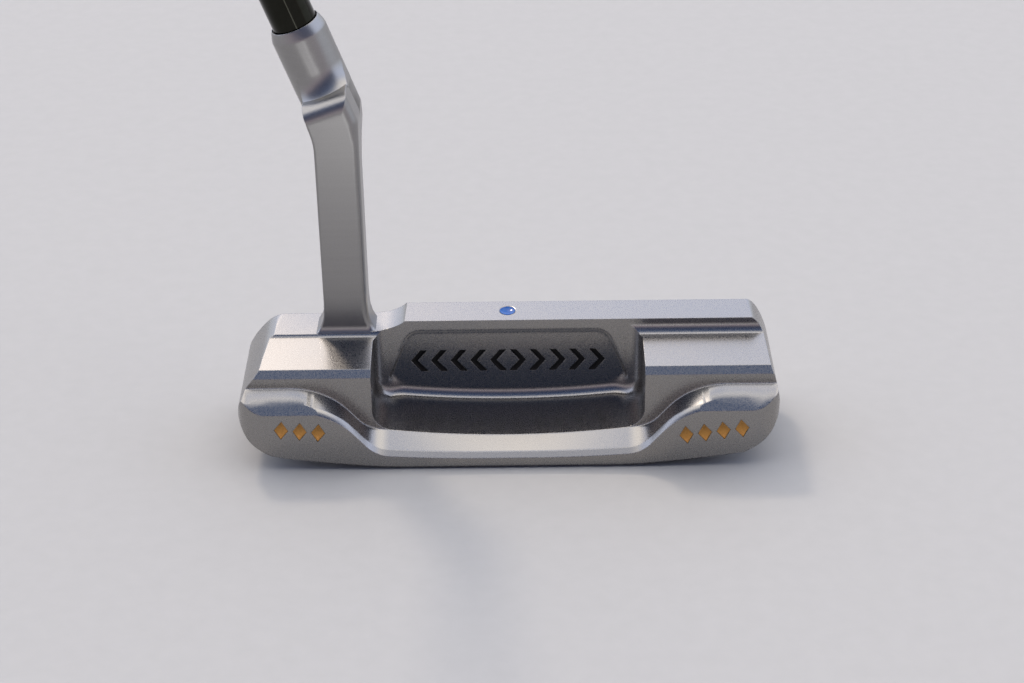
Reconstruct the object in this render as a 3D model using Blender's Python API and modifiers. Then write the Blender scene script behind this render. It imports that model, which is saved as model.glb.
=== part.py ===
"""Blade putter: milled head, offset neck, steel shaft and rubber grip.

Frame: +X runs from heel to toe, +Y is the way the face looks, +Z is up.
The origin is the point of the sole that touches the ground.
Driving dimensions are in millimetres and turn into metres where a mesh is made.
"""
import math

import bmesh
import bpy
from mathutils import Matrix, Vector

MM = 0.001

# Head block
FACE_Y_AT_SOLE = 14.3
LOFT = math.radians(3.0)
TOP_Z = 25.5
TOP_TILT = math.radians(2.4)
BLADE_BACK_Y = 5.3
FLANGE_BACK_Y = -14.2
SOLE_CAMBER_R = 290.0
SOLE_FLAT = 5.0
BACK_CORNER_R = 6.5
FRONT_CORNER_R = 1.5
TOE_X = 57.6
HEEL_X = -57.4
SHOULDER_Z = 22.9
SHOULDER_END_X = -40.9
SHOULDER_FRONT_Z = 22.94
SHOULDER_BREAK_Y = 4.5
SHOULDER_BREAK_Z = 22.54
SHOULDER_FOOT_Y = 3.9
SHOULDER_FOOT_Z = 21.95

# Bumpers, the two blocks behind the blade
STEP_FILLET_R = 2.0
STEP_Z = 21.9
BUMPER_EDGE_Y = -7.2
BUMPER_EDGE_Z = 20.95
BUMPER_CHAMFER = 1.4
BUMPER_BACK_Y = BUMPER_EDGE_Y - BUMPER_CHAMFER

# Flange behind the bumpers: a low middle and two raised wings
RIM_Z = 5.0
RIM_SAG_R = 210.0
RIM_START_X = 27.4
WING_INNER_Z = 17.2
FLANGE_EDGE_Y = -12.9
FLANGE_EDGE_Z = 3.7
FLANGE_START_X = 25.5
WING_OUTER_Z = 15.6
FLANGE_CHAMFER_SLOPE = 0.8
WING_FOOT_R = 6.0
WING_CROWN_R = 16.0
WING_RAMP = math.radians(50.0)
RIM_DROP = 0.1

# Cavity between the bumpers
CAVITY_HALF = 29.0
CAVITY_CORNER_R = 3.8
CAVITY_FILLET_R = 1.8
PANEL_TOP_Z = 22.9
PANEL_TOP_HALF = 21.6
PANEL_FOOT_HALF = 27.4
PANEL_FOOT_Z = 7.6
PANEL_DEPTH = 1.0

# Neck and hosel
LIE = math.radians(70.0)
SHAFT_Y = 17.1
RIM_CENTRE = Vector((-42.7, SHAFT_Y, 89.5))
AXIS_UP = Vector((-math.cos(LIE), 0.0, math.sin(LIE)))
HOSEL_R = 5.9
HOSEL_TAPER = 0.7
HOSEL_TAPER_LENGTH = 2.4
SOCKET_R = 5.0
SOCKET_DEPTH = 19.0
POST_HEEL_X = -39.3
POST_TOE_X = -30.0
POST_FRONT_Y = 13.4
POST_EDGE_R = 1.0
ELBOW_LOW_Z = 56.0
ELBOW_SIDE_GAP = 0.1
LEDGE_ROLL_R = 3.2
LEDGE_Z = 76.0
SEAM = 0.3

# Shaft and grip
SHAFT_TIP_R = 4.7
SHAFT_BUTT_R = 7.35
SHAFT_WALL = 0.45
SHAFT_STEPS = 8
FIRST_STEP = 300.0
STEP_PITCH = 32.0
PUTTER_LENGTH = 889.0
GRIP_LENGTH = 267.0
CAP_LENGTH = 3.0
TAPE_WALL = 0.3
SLIP = 0.1
CAP_WIDTH = 24.0
CAP_DEPTH = 28.0
CAP_FLAT = 9.7

# Paint-filled marks
MARK_DEPTH = 0.5
PAINT_THICKNESS = 0.3
MARK_CLEARANCE = 0.06
DOT_R = 1.7
DOT_DEPTH = 0.6
CAVITY_MARKS = 10
CAVITY_MARK_PITCH = 4.3
CAVITY_MARK_Z = 14.6
CHEVRON_WIDTH = 3.4
CHEVRON_HEIGHT = 5.4
CHEVRON_STROKE = 1.3
LOZENGE_WIDTH = 2.9
LOZENGE_HEIGHT = 4.4
# first centre (x, z), step to the next centre, count and lean of each row of lozenges
HEEL_MARKS = ((-48.0, 10.2), (3.9, -0.35), 3, math.radians(-5))
TOE_MARKS = ((37.6, 8.0), (3.9, 0.5), 4, math.radians(8))

ROUND_SIDES = 48
DOT_SIDES = 32
CUT_PAST = 5.0


def clear_scene():
    for obj in list(bpy.data.objects):
        bpy.data.objects.remove(obj, do_unlink=True)


def new_collection(name):
    collection = bpy.data.collections.new(name)
    bpy.context.scene.collection.children.link(collection)
    return collection


def finish_material(name, colour, metallic, roughness, coat=0.0):
    material = bpy.data.materials.new(name)
    material.use_nodes = True
    shader = material.node_tree.nodes["Principled BSDF"]
    shader.inputs["Base Color"].default_value = (*colour, 1.0)
    shader.inputs["Metallic"].default_value = metallic
    shader.inputs["Roughness"].default_value = roughness
    shader.inputs["Coat Weight"].default_value = coat
    material.diffuse_color = (*colour, 1.0)
    return material


def arc(cx, cy, radius, start, stop, steps=6):
    """Points of a circular arc, angles in degrees."""
    points = []
    for i in range(steps + 1):
        angle = math.radians(start + (stop - start) * i / steps)
        points.append((cx + radius * math.cos(angle), cy + radius * math.sin(angle)))
    return points


def add_object(name, mesh, collection):
    obj = bpy.data.objects.new(name, mesh)
    collection.objects.link(obj)
    return obj


PLANE = {
    "X": Matrix(((0, 0, 1, 0), (1, 0, 0, 0), (0, 1, 0, 0), (0, 0, 0, 1))),
    "Y": Matrix(((1, 0, 0, 0), (0, 0, -1, 0), (0, 1, 0, 0), (0, 0, 0, 1))),
    "Z": Matrix.Identity(4),
}


def slab(name, outline, low, high, axis, collection):
    """A flat outline given thickness from low to high along one axis."""
    curve = bpy.data.curves.new(name, "CURVE")
    curve.dimensions = "2D"
    curve.fill_mode = "BOTH"
    curve.extrude = (high - low) / 2 * MM
    spline = curve.splines.new("POLY")
    spline.points.add(len(outline) - 1)
    for point, (u, v) in zip(spline.points, outline):
        point.co = (u * MM, v * MM, 0.0, 1.0)
    spline.use_cyclic_u = True
    flat = add_object(name + "_outline", curve, collection)
    shift = Vector((0, 0, 0))
    shift["XYZ".index(axis)] = (low + high) / 2 * MM
    flat.matrix_world = Matrix.Translation(shift) @ PLANE[axis]
    bpy.context.view_layer.update()
    solid = mesh_from_curve(name, flat, collection)
    return solid


def mesh_from_curve(name, curve_object, collection):
    depsgraph = bpy.context.evaluated_depsgraph_get()
    mesh = bpy.data.meshes.new_from_object(curve_object.evaluated_get(depsgraph))
    mesh.name = name
    bm = bmesh.new()
    bm.from_mesh(mesh)
    bmesh.ops.remove_doubles(bm, verts=bm.verts, dist=1e-6)
    bmesh.ops.recalc_face_normals(bm, faces=bm.faces)
    bm.to_mesh(mesh)
    bm.free()
    solid = add_object(name, mesh, collection)
    solid.matrix_world = curve_object.matrix_world
    bpy.data.objects.remove(curve_object, do_unlink=True)
    return solid


def turned(name, profile, axis_point, direction, collection, sides=ROUND_SIDES):
    """A closed (radius, height) profile, in mm, turned about an axis."""
    mesh = bpy.data.meshes.new(name)
    verts = [(r * MM, 0.0, h * MM) for r, h in profile]
    count = len(verts)
    edges = [(i, (i + 1) % count) for i in range(count)]
    if min(r for r, h in profile) <= 0.0:
        edges = edges[:-1]
    mesh.from_pydata(verts, edges, [])
    obj = add_object(name, mesh, collection)
    screw = obj.modifiers.new("turn", "SCREW")
    screw.steps = sides
    screw.render_steps = sides
    screw.use_merge_vertices = True
    screw.merge_threshold = 1e-6
    turn = Vector((0, 0, 1)).rotation_difference(direction).to_matrix().to_4x4()
    obj.matrix_world = Matrix.Translation(axis_point * MM) @ turn
    return obj


def rod(name, radius, bottom, top, axis_point, direction, collection, sides=ROUND_SIDES):
    """A plain cylinder between two heights along an axis."""
    mesh = bpy.data.meshes.new(name)
    bm = bmesh.new()
    bmesh.ops.create_cone(
        bm, cap_ends=True, segments=sides, radius1=radius * MM, radius2=radius * MM,
        depth=(top - bottom) * MM)
    bmesh.ops.translate(bm, verts=bm.verts, vec=(0, 0, (top + bottom) / 2 * MM))
    bm.to_mesh(mesh)
    bm.free()
    obj = add_object(name, mesh, collection)
    turn = Vector((0, 0, 1)).rotation_difference(direction).to_matrix().to_4x4()
    obj.matrix_world = Matrix.Translation(axis_point * MM) @ turn
    return obj


def combine(target, tool, operation, cutters):
    """Boolean one solid with another, which then counts as a cutter."""
    modifier = target.modifiers.new(tool.name, "BOOLEAN")
    modifier.operation = operation
    modifier.solver = "EXACT"
    modifier.object = tool
    if tool.name not in cutters.objects:
        for owner in list(tool.users_collection):
            owner.objects.unlink(tool)
        cutters.objects.link(tool)
    tool.hide_render = True
    tool.display_type = "WIRE"


def freeze(obj):
    """Replace an object's modifiers by the mesh they make."""
    bpy.context.view_layer.update()
    depsgraph = bpy.context.evaluated_depsgraph_get()
    mesh = bpy.data.meshes.new_from_object(obj.evaluated_get(depsgraph))
    mesh.name = obj.name
    obj.modifiers.clear()
    obj.data = mesh


def round_edges(obj, radius, chosen, segments=4):
    """Round the edges for which chosen(midpoint, direction) holds, in mm."""
    bm = bmesh.new()
    bm.from_mesh(obj.data)
    place = obj.matrix_world
    edges = []
    for edge in bm.edges:
        if edge.calc_face_angle(0.0) < math.radians(30):
            continue
        a = place @ edge.verts[0].co / MM
        b = place @ edge.verts[1].co / MM
        if chosen((a + b) / 2, (b - a).normalized()):
            edges.append(edge)
    bmesh.ops.bevel(
        bm, geom=edges, offset=radius * MM, offset_type="OFFSET", segments=segments,
        profile=0.5, affect="EDGES", clamp_overlap=True)
    bmesh.ops.remove_doubles(bm, verts=bm.verts, dist=1e-7)
    bm.to_mesh(obj.data)
    bm.free()


def shade_round(obj, angle=35.0):
    for polygon in obj.data.polygons:
        polygon.use_smooth = True
    obj.data.set_sharp_from_angle(angle=math.radians(angle))


def camber(x):
    """Height of the sole at a place along the head."""
    reach = max(0.0, abs(x) - SOLE_FLAT)
    return SOLE_CAMBER_R - math.sqrt(SOLE_CAMBER_R ** 2 - reach ** 2)


def head_silhouette():
    """Head seen from the front, toe sole first, then round over the top."""
    # the middle of the sole is flat, so it needs no point at x = 0
    sole = [(x, camber(x)) for x in range(-50, 51, 5) if x != 0]
    toe = [
        (53.6, 5.7), (55.8, 7.3), (57.1, 9.5), (TOE_X, 12.2), (57.2, 15.2), (56.4, 18.5),
        (55.3, 21.3), (54.2, 23.5), (53.2, 24.6), (52.2, 25.3), (51.1, 25.7), (50.0, 28.0)]
    valley = [
        (-21.0, 28.0), (-21.8, 25.5), (-22.7, 24.7), (-24.2, 23.9), (-26.0, 23.4), (-28.0, 23.2)]
    heel = [
        (-29.5, SHOULDER_Z), (-48.9, SHOULDER_Z), (-50.5, 22.4), (-52.1, 21.3), (-53.8, 19.6),
        (-55.5, 17.4), (-56.8, 15.0), (HEEL_X, 12.4), (-57.2, 10.3), (-56.2, 8.1), (-54.4, 6.1)]
    return sole + toe + valley + heel


def head_side_profile():
    """Head seen from the toe: face, topline and sole."""
    face_y = FACE_Y_AT_SOLE - TOP_Z * math.tan(LOFT)
    top_back = BLADE_BACK_Y - 1.0
    sole_back = -7.0
    back_lift = 0.5
    return [
        (FACE_Y_AT_SOLE - 1.2, 0.0), (FACE_Y_AT_SOLE - 0.35, 0.3), (FACE_Y_AT_SOLE - 0.06, 1.1),
        (face_y, TOP_Z), (top_back, TOP_Z - (face_y - top_back) * math.tan(TOP_TILT)),
        (FLANGE_BACK_Y, TOP_Z), (FLANGE_BACK_Y, back_lift + 0.5), (FLANGE_BACK_Y + 0.5, back_lift),
        (sole_back, 0.0),
    ]


def head_plan():
    """Head seen from above, with rounded corners."""
    front = FACE_Y_AT_SOLE + 1.0
    left = HEEL_X - 0.2
    right = TOE_X + 0.2
    r = BACK_CORNER_R
    f = FRONT_CORNER_R
    return (
        arc(left + r, FLANGE_BACK_Y + r, r, 180, 270, 7)
        + arc(right - r, FLANGE_BACK_Y + r, r, 270, 360, 7)
        + arc(right - f, front - f, f, 0, 90, 3)
        + arc(left + f, front - f, f, 90, 180, 3))


def step_profile():
    """What is milled away above the bumpers, seen from the toe."""
    r = STEP_FILLET_R
    fillet = arc(BLADE_BACK_Y - r, STEP_Z + r, r, 0, -90, 6)
    behind = 8.0
    above = 40.0
    back = [
        (BUMPER_EDGE_Y, BUMPER_EDGE_Z),
        (BUMPER_BACK_Y - behind, BUMPER_EDGE_Z - BUMPER_CHAMFER - behind),
        (BUMPER_BACK_Y - behind, above)]
    return [(BLADE_BACK_Y, above)] + fillet + back


def shoulder_profile():
    """What a second pass takes off the heel's shoulder, seen from the toe."""
    above = 40.0
    return [
        (FACE_Y_AT_SOLE, SHOULDER_FRONT_Z), (SHOULDER_BREAK_Y, SHOULDER_BREAK_Z),
        (SHOULDER_FOOT_Y, SHOULDER_FOOT_Z), (SHOULDER_FOOT_Y, above), (FACE_Y_AT_SOLE, above)]


def wing_height(x, start, low, high):
    """Height of the flange: low in the middle, up a ramp to the wings."""
    rise = high - low
    foot = WING_FOOT_R
    crown = WING_CROWN_R
    straight = (rise - (foot + crown) * (1 - math.cos(WING_RAMP))) / math.sin(WING_RAMP)
    foot_end = foot * math.sin(WING_RAMP)
    ramp_end = foot_end + straight * math.cos(WING_RAMP)
    crown_end = ramp_end + crown * math.sin(WING_RAMP)
    u = abs(x) - start
    if u <= 0:
        return low
    if u <= foot_end:
        return low + foot - math.sqrt(foot ** 2 - u ** 2)
    if u <= ramp_end:
        return low + foot * (1 - math.cos(WING_RAMP)) + (u - foot_end) * math.tan(WING_RAMP)
    if u <= crown_end:
        return high - crown + math.sqrt(crown ** 2 - (crown_end - u) ** 2)
    return high


def flange_height(x):
    """The flange's back edge, which follows the sole."""
    return FLANGE_EDGE_Z + min(camber(x), 1.0)


def rim_height(x):
    """The cavity's floor, a little lower in the middle than at its ends."""
    reach = min(abs(x), CAVITY_HALF)
    return RIM_Z + reach ** 2 / (2 * RIM_SAG_R)


def scoop_solid(name, collection):
    """The space over the flange, lofted from the bumper's back to behind the head."""
    half = [0, 12, 22, 25.5, 27.4, 29, 30.2, 31.4, 32.6, 33.8, 35.4, 37, 39, 41, 43, 45, 47.5, 52, 62]
    stations = [-x for x in reversed(half[1:])] + half
    beyond = 2.0
    drop = (FLANGE_EDGE_Y - FLANGE_BACK_Y + beyond) * FLANGE_CHAMFER_SLOPE
    # each row: y, where its ramp starts, its height in the middle, its lift, its wings' height
    rows = [
        (BUMPER_BACK_Y, RIM_START_X, rim_height, -RIM_DROP, WING_INNER_Z),
        (FLANGE_EDGE_Y, FLANGE_START_X, flange_height, 0.0, WING_OUTER_Z),
        (FLANGE_BACK_Y - beyond, FLANGE_START_X, flange_height, -drop, WING_OUTER_Z),
    ]
    ceiling = 34.0
    bm = bmesh.new()
    floor = []
    roof = []
    for y, start, low, lift, high in rows:
        line = [(x, y, wing_height(x, start, low(x), high) + lift) for x in stations]
        floor.append([bm.verts.new(Vector(p) * MM) for p in line])
        roof.append([bm.verts.new(Vector((x, y, ceiling)) * MM) for x in stations])
    last = len(stations) - 1
    for j in range(len(rows) - 1):
        for i in range(last):
            bm.faces.new((floor[j][i], floor[j][i + 1], floor[j + 1][i + 1], floor[j + 1][i]))
            bm.faces.new((roof[j][i], roof[j + 1][i], roof[j + 1][i + 1], roof[j][i + 1]))
        for i in (0, last):
            bm.faces.new((floor[j][i], floor[j + 1][i], roof[j + 1][i], roof[j][i]))
    for j in (0, len(rows) - 1):
        for i in range(last):
            bm.faces.new((floor[j][i], floor[j][i + 1], roof[j][i + 1], roof[j][i]))
    bmesh.ops.recalc_face_normals(bm, faces=bm.faces)
    mesh = bpy.data.meshes.new(name)
    bm.to_mesh(mesh)
    bm.free()
    return add_object(name, mesh, collection)


def cavity_solid(name, collection):
    """The cavity: a wide U seen from behind, rounded where it meets the blade."""
    r = CAVITY_CORNER_R
    w = CAVITY_HALF
    end = rim_height(w - r)
    above = 30.0
    past_floor = 1.6
    floor = [(x, rim_height(x)) for x in range(-20, 21, 5)]
    outline = (
        [(-w, above)] + arc(-w + r, end + r, r, 180, 262) + floor
        + arc(w - r, end + r, r, 278, 360) + [(w, above)])
    solid = slab(name, outline, BUMPER_BACK_Y - past_floor, BLADE_BACK_Y, "Y", collection)
    round_edges(
        solid, CAVITY_FILLET_R,
        lambda mid, way: mid.y > BLADE_BACK_Y - 0.1 and mid.z < above - 0.1)
    return solid


def panel_solid(name, collection):
    """The shallow trapezoid that is milled into the cavity's wall."""
    r = 2.6
    # the upper corner, as distances out from the top edge's end and down
    corner = [(0.0, 0.0), (0.8, 0.4), (1.4, 1.2)]
    top_toe = [(PANEL_TOP_HALF + out, PANEL_TOP_Z - down) for out, down in corner[::-1]]
    top_heel = [(-PANEL_TOP_HALF - out, PANEL_TOP_Z - down) for out, down in corner]
    outline = (
        top_heel
        + arc(-PANEL_FOOT_HALF + r, PANEL_FOOT_Z + r, r, 190, 270, 4)
        + arc(PANEL_FOOT_HALF - r, PANEL_FOOT_Z + r, r, 270, 350, 4)
        + top_toe)
    return slab(name, outline, BLADE_BACK_Y - 1.0, BLADE_BACK_Y + PANEL_DEPTH, "Y", collection)


def chevron(cx, cz, width, height, stroke, side):
    """A pointed bar; side is 1 for a point towards the toe, -1 towards the heel."""
    h = height / 2
    w = width / 2
    points = [(-w, h), (-w + stroke, h), (w, 0), (-w + stroke, -h), (-w, -h), (w - stroke, 0)]
    points = [(cx + side * u, cz + v) for u, v in points]
    return points if side < 0 else points[::-1]


def lozenge(cx, cz, width, height, lean):
    points = [(0, -height / 2), (width / 2, 0), (0, height / 2), (-width / 2, 0)]
    c = math.cos(lean)
    s = math.sin(lean)
    return [(cx + u * c - v * s, cz + u * s + v * c) for u, v in points]


def grown(outline, amount):
    """The outline moved outward by an amount, corner by corner."""
    count = len(outline)
    area = 0.0
    for i in range(count):
        (x0, z0), (x1, z1) = outline[i], outline[(i + 1) % count]
        area += x0 * z1 - x1 * z0
    turn = 1 if area > 0 else -1
    result = []
    for i in range(count):
        a, b, c = (Vector(outline[(i + k) % count]) for k in (-1, 0, 1))
        n1 = Vector(((b - a).y, -(b - a).x)).normalized() * turn
        n2 = Vector(((c - b).y, -(c - b).x)).normalized() * turn
        mitre = (n1 + n2) / max(0.3, 1 + n1.dot(n2))
        result.append(tuple(b + mitre * amount))
    return result


def mark_outlines():
    """Every paint-filled mark: name, outline, wall it is cut into, material key."""
    marks = []
    middle = (CAVITY_MARKS - 1) / 2
    for i in range(CAVITY_MARKS):
        side = 1 if i > middle else -1
        x = (i - middle) * CAVITY_MARK_PITCH
        outline = chevron(x, CAVITY_MARK_Z, CHEVRON_WIDTH, CHEVRON_HEIGHT, CHEVRON_STROKE, side)
        marks.append((f"cavity_mark_{i + 1:02d}", outline, BLADE_BACK_Y + PANEL_DEPTH, "black"))
    for name, row in (("heel_mark", HEEL_MARKS), ("toe_mark", TOE_MARKS)):
        first, step, count, lean = row
        for i in range(count):
            x = first[0] + i * step[0]
            z = first[1] + i * step[1]
            outline = lozenge(x, z, LOZENGE_WIDTH, LOZENGE_HEIGHT, lean)
            marks.append((f"{name}_{i + 1}", outline, FLANGE_BACK_Y, "gold"))
    return marks


def ledge_height(x):
    """Height of the plane, square to the shaft, where the post's top ends."""
    return LEDGE_Z + (x - axis_x(LEDGE_Z)) / math.tan(LIE)


def axis_x(z):
    """Where the shaft's axis is at a height."""
    return RIM_CENTRE.x + (RIM_CENTRE.z - z) / math.tan(LIE)


def post_outline():
    """Neck post seen from the front: upright, then leaning like the hosel at its top."""
    foot = SHOULDER_Z + SEAM
    lean = arc(POST_HEEL_X - 16.0, 65.0, 16.0, 14, 0, 4)
    heel_foot = [(POST_HEEL_X, 29.0), (-39.5, 26.5), (-39.9, 24.8), (-40.8, foot)]
    toe_foot = [(-28.6, foot), (-29.3, 24.6), (-29.8, 26.4), (POST_TOE_X, 29.0)]
    side = HOSEL_R / math.sin(LIE)
    toe_top = [(POST_TOE_X, toe_bend()), (axis_x(toe_top_z()) + side, toe_top_z())]
    heel_top = -41.1
    return lean + heel_foot + toe_foot + toe_top + [(heel_top, ledge_height(heel_top))]


def toe_bend():
    """Where the hosel's toe side, carried down, meets the post's."""
    return RIM_CENTRE.z - (POST_TOE_X - RIM_CENTRE.x - HOSEL_R / math.sin(LIE)) * math.tan(LIE)


def toe_top_z():
    """Where the hosel's toe side meets the ledge."""
    return LEDGE_Z + HOSEL_R * math.cos(LIE)


def post_side_outline():
    """Neck post seen from the toe."""
    foot = SHOULDER_Z
    front = [(POST_FRONT_Y - 1.2, foot), (POST_FRONT_Y, foot + 7.0), (POST_FRONT_Y, 90.0)]
    return [(BLADE_BACK_Y, foot)] + front + [(BLADE_BACK_Y, 90.0)]


def elbow_outline():
    """Side limits of the elbow seen from the front, so that it stays behind the post."""
    low = ELBOW_LOW_Z - 2.0
    high = 80.0
    toe_x = POST_TOE_X - ELBOW_SIDE_GAP
    heel_x = POST_HEEL_X + ELBOW_SIDE_GAP
    lean_starts = (heel_x, 64.0)
    return [(heel_x, low), (toe_x, low), (toe_x, high), (-50.0, high), lean_starts]


def elbow_side_outline():
    """The elbow seen from the toe: it sweeps forward under the hosel."""
    front = SHAFT_Y + HOSEL_R + 1.0
    inside_post = BLADE_BACK_Y + 3.0
    above = 90.0
    reach = front - POST_FRONT_Y
    sweep = arc(front, ELBOW_LOW_Z, reach + 0.4, 180, 92, 7)
    return [(inside_post, ELBOW_LOW_Z)] + sweep + [(front, above), (inside_post, above)]


def build_neck(parts, cutters):
    post = slab("plumber_neck", post_outline(), BLADE_BACK_Y, POST_FRONT_Y, "Y", parts)
    combine(post, slab("post_side", post_side_outline(), -60.0, -20.0, "X", cutters), "INTERSECT", cutters)
    freeze(post)
    straight_end = 72.0
    ledge_start = 73.0
    round_edges(post, POST_EDGE_R, lambda mid, way: abs(way.z) > 0.9 and mid.z < straight_end, 3)
    round_edges(
        post, LEDGE_ROLL_R,
        lambda mid, way: mid.z > ledge_start and mid.y < BLADE_BACK_Y + 0.2 and abs(way.x) > 0.8, 5)
    foot = (LEDGE_Z - RIM_CENTRE.z) / math.sin(LIE) - 1.0
    # the elbow is a hair thinner than the barrel, so that their walls never coincide
    inset = 0.02
    elbow_foot = -40.0
    elbow = rod("elbow", HOSEL_R - inset, elbow_foot, foot + 0.5, RIM_CENTRE, AXIS_UP, cutters)
    sides = slab("elbow_sides", elbow_outline(), 0.0, 30.0, "Y", cutters)
    combine(elbow, sides, "INTERSECT", cutters)
    sweep = slab("elbow_sweep", elbow_side_outline(), -60.0, -20.0, "X", cutters)
    combine(elbow, sweep, "INTERSECT", cutters)
    combine(post, elbow, "UNION", cutters)
    lip = [
        (HOSEL_R - HOSEL_TAPER, 0.0), (HOSEL_R - 0.15, 0.7 - HOSEL_TAPER_LENGTH),
        (HOSEL_R, -HOSEL_TAPER_LENGTH)]
    profile = [(0.0, 0.0)] + lip + [(HOSEL_R, foot), (0.0, foot)]
    hosel = turned("hosel_barrel", profile, RIM_CENTRE, AXIS_UP, cutters)
    combine(post, hosel, "UNION", cutters)
    socket = rod("hosel_socket", SOCKET_R, -SOCKET_DEPTH, CUT_PAST, RIM_CENTRE, AXIS_UP, cutters)
    combine(post, socket, "DIFFERENCE", cutters)
    freeze(post)
    return post


def build_head(parts, cutters):
    head = slab("head_body", head_silhouette(), FLANGE_BACK_Y - 1.0, FACE_Y_AT_SOLE + 1.0, "Y", parts)
    side = slab("head_side", head_side_profile(), HEEL_X - 3, TOE_X + 3, "X", cutters)
    plan = slab("head_plan", head_plan(), -2.0, 40.0, "Z", cutters)
    combine(head, side, "INTERSECT", cutters)
    combine(head, plan, "INTERSECT", cutters)
    step = slab("bumper_step", step_profile(), HEEL_X - 3, TOE_X + 3, "X", cutters)
    combine(head, step, "DIFFERENCE", cutters)
    shoulder = slab("heel_shoulder", shoulder_profile(), HEEL_X - 3, SHOULDER_END_X, "X", cutters)
    combine(head, shoulder, "DIFFERENCE", cutters)
    combine(head, scoop_solid("flange_scoop", cutters), "DIFFERENCE", cutters)
    combine(head, cavity_solid("cavity", cutters), "DIFFERENCE", cutters)
    combine(head, panel_solid("cavity_panel", cutters), "DIFFERENCE", cutters)
    for name, outline, wall, key in mark_outlines():
        mouth = grown(outline, MARK_CLEARANCE)
        pocket = slab(name + "_pocket", mouth, wall - 1.0, wall + MARK_DEPTH, "Y", cutters)
        combine(head, pocket, "DIFFERENCE", cutters)
    dimple = rod(
        "dot_dimple", DOT_R + MARK_CLEARANCE, -DOT_DEPTH, CUT_PAST,
        dot_centre(), topline_up(), cutters, DOT_SIDES)
    combine(head, dimple, "DIFFERENCE", cutters)
    freeze(head)
    return head


def topline_up():
    return Vector((0.0, -math.sin(TOP_TILT), math.cos(TOP_TILT)))


def dot_centre():
    face_y = FACE_Y_AT_SOLE - TOP_Z * math.tan(LOFT)
    middle = (face_y + BLADE_BACK_Y) / 2
    return Vector((0.0, middle, TOP_Z - (face_y - middle) * math.tan(TOP_TILT)))


def build_marks(parts):
    pieces = []
    for name, outline, wall, key in mark_outlines():
        floor = wall + MARK_DEPTH - MARK_CLEARANCE
        pieces.append((slab(name, outline, floor - PAINT_THICKNESS, floor, "Y", parts), key))
    floor = MARK_CLEARANCE - DOT_DEPTH
    dot = rod(
        "alignment_dot", DOT_R, floor, floor + PAINT_THICKNESS,
        dot_centre(), topline_up(), parts, DOT_SIDES)
    pieces.append((dot, "blue"))
    return pieces


def along_shaft(distance):
    """A point on the shaft's axis, measured up from the hosel's rim."""
    return RIM_CENTRE + AXIS_UP * distance


def shaft_top():
    """Distance from the rim to the butt, so that the putter has its full length."""
    sole_to_rim = RIM_CENTRE.z / math.sin(LIE)
    return PUTTER_LENGTH - sole_to_rim - CAP_LENGTH


def build_shaft(parts):
    tip = -SOCKET_DEPTH + 1.0
    butt = shaft_top() - SEAM
    outer = [(SHAFT_TIP_R, tip)]
    radius = SHAFT_TIP_R
    growth = (SHAFT_BUTT_R - SHAFT_TIP_R) / SHAFT_STEPS
    for i in range(SHAFT_STEPS):
        height = FIRST_STEP + i * STEP_PITCH
        outer += [(radius, height), (radius + growth, height + 1.5)]
        radius += growth
    outer.append((radius, butt))
    inner = [(r - SHAFT_WALL, h) for r, h in outer]
    return turned("shaft", outer[::-1] + inner, RIM_CENTRE, AXIS_UP, parts)


def build_sleeve(name, inner, outer, bottom, top, parts):
    profile = [(outer, top), (outer, bottom), (inner, bottom), (inner, top)]
    return turned(name, profile, RIM_CENTRE, AXIS_UP, parts)


def grip_section(width, depth, flat, sides=32):
    """A round section with one side planed flat, the flat towards +x."""
    points = []
    for i in range(sides):
        angle = 2 * math.pi * (i + 0.5) / sides
        x = depth / 2 * math.cos(angle)
        y = width / 2 * math.sin(angle)
        points.append((min(x, flat), y))
    return points


def build_grip(parts, cutters):
    top = shaft_top() - SEAM
    bottom = top - GRIP_LENGTH
    # height above the grip's mouth, width, depth and where the thumb flat lies
    sections = [
        (0, 18.6, 18.6, 9.2), (4, 19.2, 19.2, 9.3), (60, 21.0, 20.4, 8.8), (120, 22.6, 22.0, 8.7),
        (170, 23.8, 23.6, 8.9), (210, 25.2, 26.4, 9.6), (238, 26.2, 29.6, 10.4), (256, 26.6, 31.0, 10.8),
        (264, 26.2, 30.4, 10.6), (GRIP_LENGTH, 24.8, 28.8, 10.0),
    ]
    bm = bmesh.new()
    rings = []
    for height, width, depth, flat in sections:
        section = grip_section(width, depth, flat)
        rings.append([bm.verts.new((x * MM, y * MM, height * MM)) for x, y in section])
    count = len(rings[0])
    for lower, upper in zip(rings, rings[1:]):
        for i in range(count):
            k = (i + 1) % count
            bm.faces.new((lower[i], lower[k], upper[k], upper[i]))
    bm.faces.new(list(reversed(rings[0])))
    bm.faces.new(rings[-1])
    mesh = bpy.data.meshes.new("grip")
    bm.to_mesh(mesh)
    bm.free()
    grip = add_object("grip", mesh, parts)
    # local z runs up the shaft and local x looks at the golfer's thumbs, towards the toe
    thumbs = Vector((math.sin(LIE), 0.0, math.cos(LIE)))
    side = AXIS_UP.cross(thumbs)
    turn = Matrix((thumbs, side, AXIS_UP)).transposed().to_4x4()
    grip.matrix_world = Matrix.Translation(along_shaft(bottom) * MM) @ turn
    bore_r = SHAFT_BUTT_R + TAPE_WALL + 2 * SLIP
    bore = rod("grip_bore", bore_r, bottom - CUT_PAST, top + CUT_PAST, RIM_CENTRE, AXIS_UP, cutters)
    combine(grip, bore, "DIFFERENCE", cutters)
    freeze(grip)
    return grip, turn


def build_cap(parts, turn):
    """The end cap, a plain plate with the grip's own outline."""
    outline = grip_section(CAP_WIDTH, CAP_DEPTH, CAP_FLAT)
    cap = slab("grip_end_cap", outline, 0.0, CAP_LENGTH, "Z", parts)
    cap.matrix_world = Matrix.Translation(along_shaft(shaft_top()) * MM) @ turn @ cap.matrix_world
    return cap


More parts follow.
